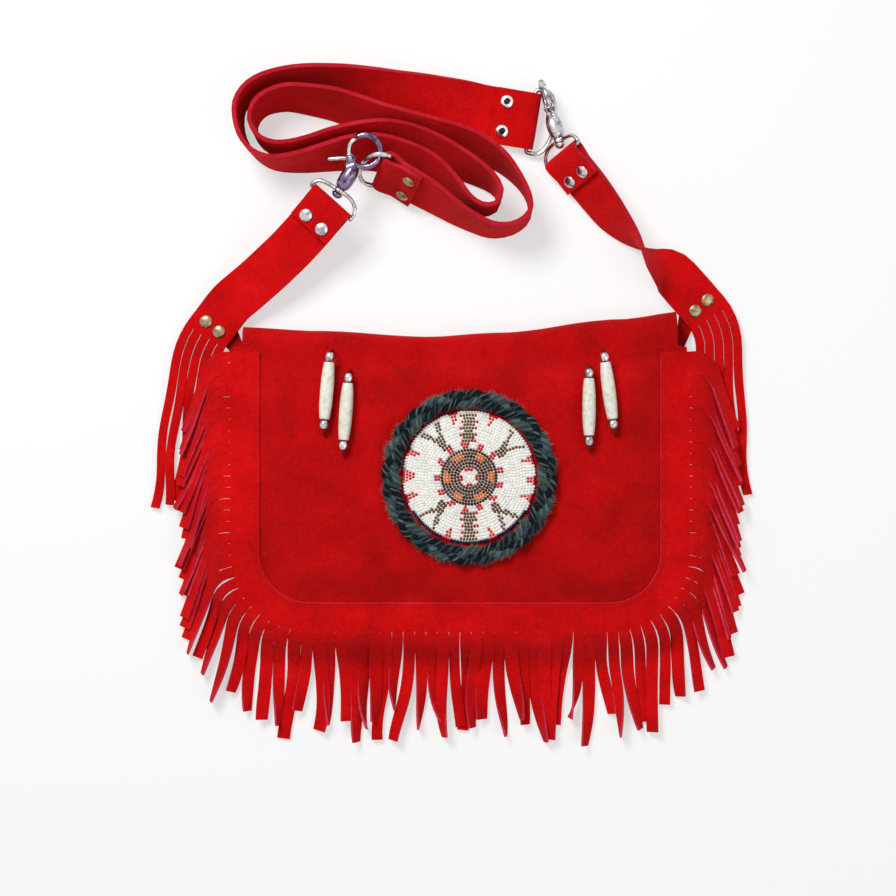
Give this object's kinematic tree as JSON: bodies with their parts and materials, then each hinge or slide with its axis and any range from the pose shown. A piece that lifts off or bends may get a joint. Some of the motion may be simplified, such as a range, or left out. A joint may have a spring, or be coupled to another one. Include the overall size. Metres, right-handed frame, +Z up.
{
  "type": "fringed suede shoulder bag",
  "caption": "Rounded suede shoulder bag with a fringed flap, a beaded rosette in a braided ring, bone hair pipes and a long strap coiled above it, clipped on by swivel snap hooks.",
  "frame": {"origin": "middle of the footprint, on the table that the bag lies on", "axes": "+Y towards the bag's top and the coiled strap, +Z up out of the flap, +X to the right seen from above"},
  "size_m": [0.3682, 0.4055, 0.0401],
  "materials": {
    "red_suede": "napped suede, dyed through",
    "lace_leather": "thin dark red lace",
    "steel": "nickel plate",
    "hook_steel": "dark nickel plate",
    "old_brass": "antique",
    "bone": "polished bone",
    "seed_beads": "rows of opaque glass seed beads",
    "braid_yarn": "braided yarn"
  },
  "bodies": {
    "bag": {"back_panel": "red_suede", "front_panel": "red_suede", "gusset": "red_suede", "tab_left": "red_suede", "tab_right": "red_suede", "long_strap": "red_suede", "tab_rivet_left_1": "steel", "tab_rivet_left_2": "steel", "tab_rivet_right_1": "steel", "tab_rivet_right_2": "steel", "lug_rivet_left_1": "old_brass", "lug_rivet_left_2": "old_brass", "lug_rivet_right_1": "old_brass", "lug_rivet_right_2": "old_brass", "strap_rivet_left_1": "old_brass", "strap_rivet_left_2": "old_brass", "strap_rivet_right_1": "old_brass", "strap_rivet_right_2": "old_brass", "swivel_loop_left": "steel", "swivel_loop_right": "steel"},
    "flap": {"flap": "red_suede", "fringe": "red_suede", "rosette": "seed_beads", "braid_ring": "braid_yarn", "hair_pipe_1": "bone", "hair_pipe_2": "bone", "hair_pipe_3": "bone", "hair_pipe_4": "bone", "bead_top_1": "steel", "bead_top_2": "steel", "bead_top_3": "steel", "bead_top_4": "steel", "bead_low_1": "steel", "bead_low_2": "steel", "bead_low_3": "steel", "bead_low_4": "steel", "lace_1": "lace_leather", "lace_2": "lace_leather", "lace_3": "lace_leather", "lace_4": "lace_leather"},
    "hook_left": {"hook_body_left": "hook_steel", "gate_pin_left": "steel"},
    "gate_left": {"gate_left": "steel"},
    "ring_left": {"d_ring_left": "steel"},
    "hook_right": {"hook_body_right": "hook_steel", "gate_pin_right": "steel"},
    "gate_right": {"gate_right": "steel"},
    "ring_right": {"d_ring_right": "steel"}
  },
  "joints": [
    {"name": "flap_hinge", "type": "hinge", "parent": "bag", "child": "flap", "pos_m": [0.006, 0.033, 0.0183], "axis": [-1, 0, 0], "range_deg": [0, 95]},
    {"name": "swivel_left", "type": "hinge", "parent": "bag", "child": "hook_left", "pos_m": [-0.0507, 0.149, 0.0334], "axis": [0.542, 0.8315, 0.1219], "range_deg": [-3, 2.5]},
    {"name": "swivel_right", "type": "hinge", "parent": "bag", "child": "hook_right", "pos_m": [0.0577, 0.1841, 0.0126], "axis": [-0.2858, 0.9526, -0.1045], "range_deg": [-3, 6]},
    {"name": "ring_swing_left", "type": "hinge", "parent": "bag", "child": "ring_left", "pos_m": [-0.039, 0.1385, 0.02006], "axis": [0.2182, 0.3619, 0.9063], "range_deg": [-10, 3]},
    {"name": "ring_swing_right", "type": "hinge", "parent": "bag", "child": "ring_right", "pos_m": [0.0486, 0.1707, 0.0071], "axis": [0.1652, 0.9764, 0.1392], "range_deg": [0, 4]},
    {"name": "gate_pivot_left", "type": "hinge", "parent": "hook_left", "child": "gate_left", "pos_m": [-0.05914, 0.14475, 0.0324], "axis": [0.0666, 0.1021, -0.9925], "range_deg": [0, 25], "stiffness_Nm_per_rad": 0.05},
    {"name": "gate_pivot_right", "type": "hinge", "parent": "hook_right", "child": "gate_right", "pos_m": [0.05991, 0.17674, 0.01818], "axis": [-0.9578, -0.2874, 0], "range_deg": [0, 25], "stiffness_Nm_per_rad": 0.05}
  ]
}
